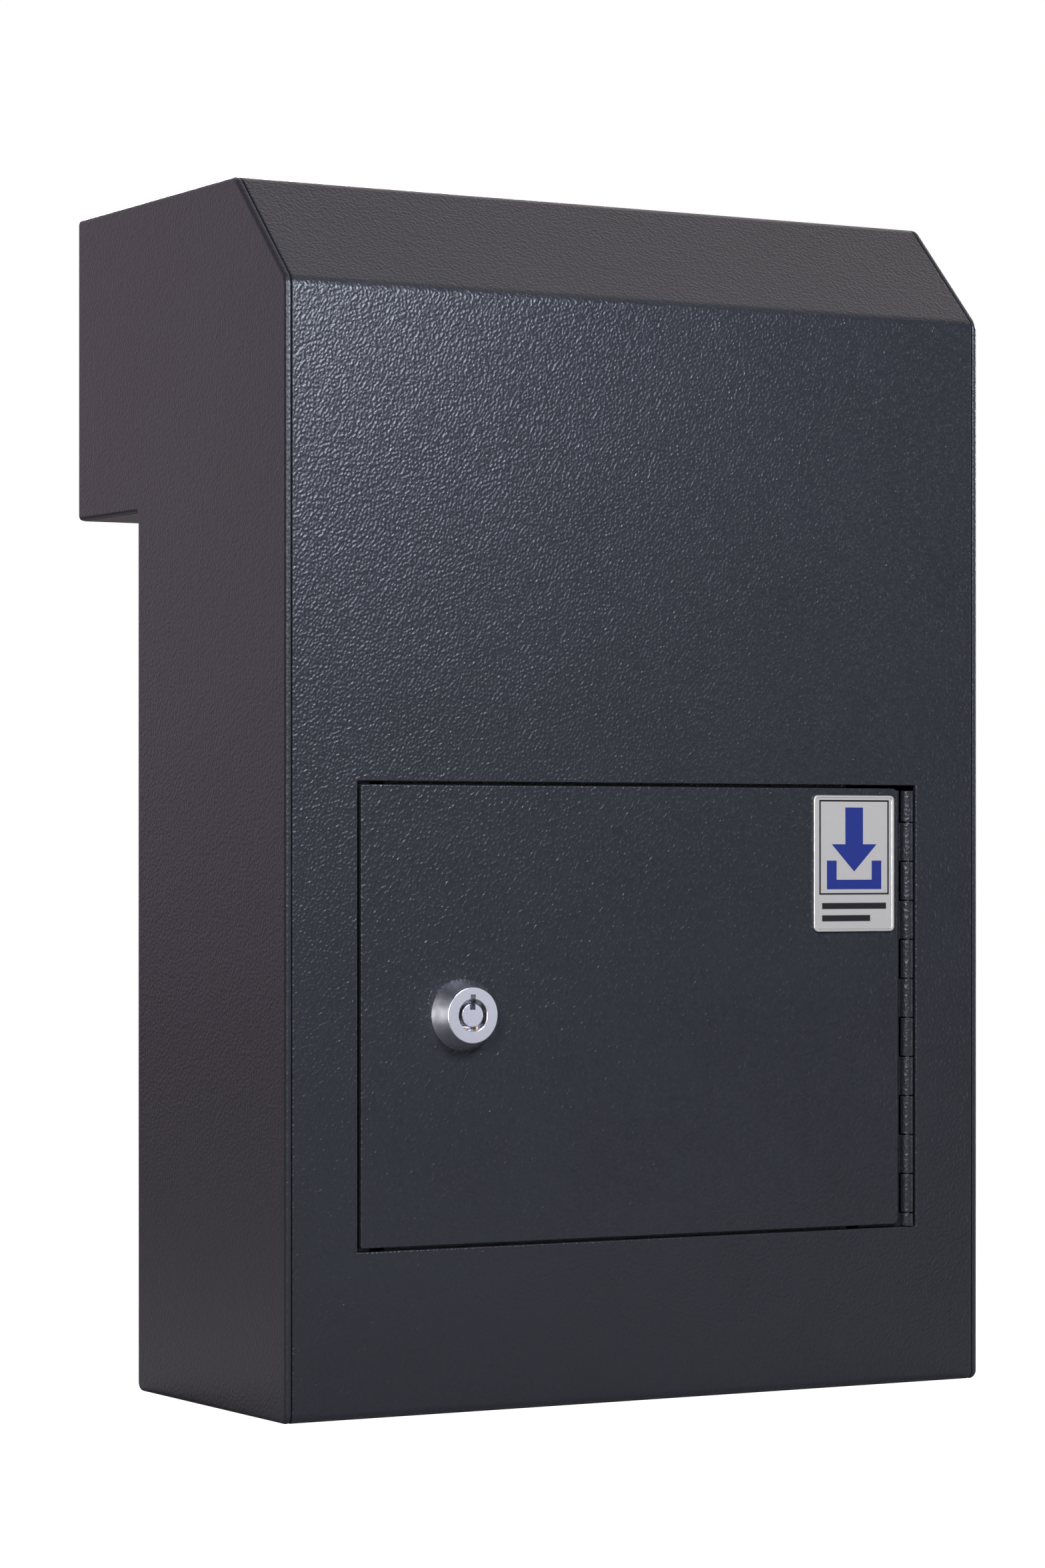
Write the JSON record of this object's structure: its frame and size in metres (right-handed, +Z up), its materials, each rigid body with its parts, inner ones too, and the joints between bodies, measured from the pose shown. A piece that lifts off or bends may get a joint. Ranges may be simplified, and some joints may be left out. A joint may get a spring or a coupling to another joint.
{
  "type": "parcel drop box",
  "caption": "Wall-hung sheet-steel deposit box with a sloped shoulder, a hinged collection door with a cam lock, and a rear intake chute with a gravity flap.",
  "frame": {"origin": "centre of the footprint at floor level, midway between the lock's face in front and the chute's rear plate", "axes": "+Z up, +Y from the front face towards the wall, +X towards the door's hinge"},
  "size_m": [0.254, 0.159, 0.381],
  "materials": {
    "charcoal_paint": "textured charcoal powder coat, semi-gloss",
    "chrome": "polished plating",
    "satin_steel": "satin",
    "zinc_plate": "bright zinc plating",
    "brass": "bare, bright",
    "bare_steel": "drawn wire, bright",
    "plate_silver": "brushed satin"
  },
  "bodies": {
    "box": {"side_panel_left": "charcoal_paint", "side_panel_right": "charcoal_paint", "body_wrap": "charcoal_paint", "back_panel": "charcoal_paint", "chute_floor": "charcoal_paint", "intake_plate": "charcoal_paint", "anti_fish_baffle": "charcoal_paint", "door_stop_top": "charcoal_paint", "door_stop_bottom": "charcoal_paint", "latch_angle": "charcoal_paint", "hinge_leaf_frame": "charcoal_paint", "hinge_pin": "bare_steel", "flap_rod": "bare_steel", "flap_bracket_left": "charcoal_paint", "flap_bracket_right": "charcoal_paint", "rod_clip_left": "bare_steel", "rod_clip_right": "bare_steel"},
    "door": {"door_panel": "charcoal_paint", "name_plate": "plate_silver", "hinge_leaf_door": "charcoal_paint", "lock_body": "chrome", "lock_spur_washer": "zinc_plate", "lock_nut": "zinc_plate"},
    "lock_cylinder": {"lock_plug": "satin_steel", "lock_pin_1": "brass", "lock_pin_2": "brass", "lock_pin_3": "brass", "lock_pin_4": "brass", "lock_pin_5": "brass", "lock_pin_6": "brass", "lock_pin_7": "brass", "cam_stop_washer": "zinc_plate", "lock_cam": "zinc_plate", "cam_washer": "zinc_plate", "cam_nut": "zinc_plate"},
    "flap": {"intake_flap": "charcoal_paint"}
  },
  "joints": [
    {"name": "door_hinge", "type": "hinge", "parent": "box", "child": "door", "pos_m": [0.1, -0.0713, 0.122], "axis": [0, 0, 1], "range_deg": [0, 110]},
    {"name": "lock_turn", "type": "hinge", "parent": "door", "child": "lock_cylinder", "pos_m": [-0.066, -0.0727, 0.12275], "axis": [0, 1, 0], "range_deg": [0, 90]},
    {"name": "flap_swing", "type": "hinge", "parent": "box", "child": "flap", "pos_m": [0, 0.072, 0.37], "axis": [-1, 0, 0], "range_deg": [0, 70]}
  ]
}
